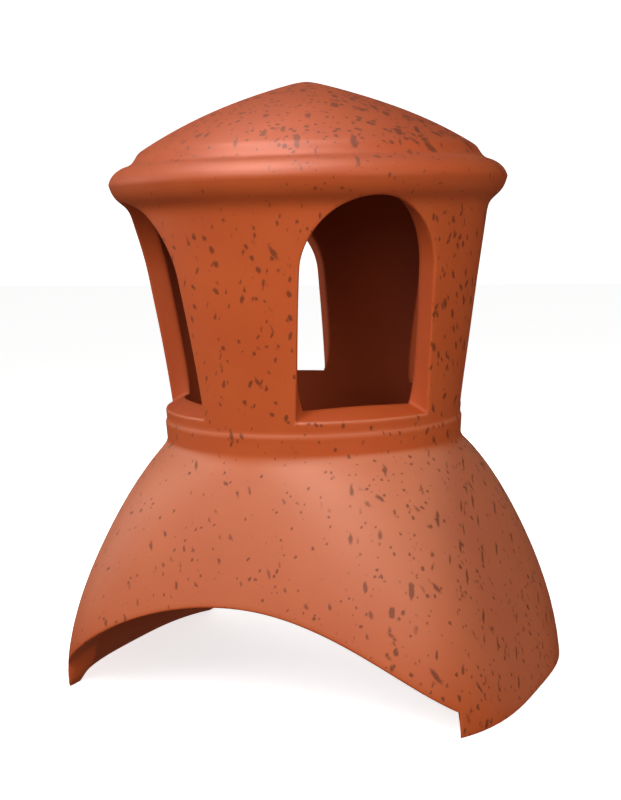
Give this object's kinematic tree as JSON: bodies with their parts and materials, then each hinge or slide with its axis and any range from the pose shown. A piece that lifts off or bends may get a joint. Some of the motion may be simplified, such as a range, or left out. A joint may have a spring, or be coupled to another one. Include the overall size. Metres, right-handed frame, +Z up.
{
  "type": "chimney cap",
  "caption": "Terracotta chimney cap with a saddle base that straddles a rounded roof ridge, a short neck, a round lantern with arched smoke windows and a low domed roof.",
  "frame": {"origin": "centre of the footprint, on the plane that both feet stand on", "axes": "+Z up through the flue to the roof's point, +Y along the roof ridge, +X across the ridge"},
  "size_m": [0.299, 0.252, 0.378],
  "materials": {
    "terracotta": "matte fired clay with dark speckles"
  },
  "bodies": {
    "root": {"chimney_cap": "terracotta"}
  },
  "joints": []
}
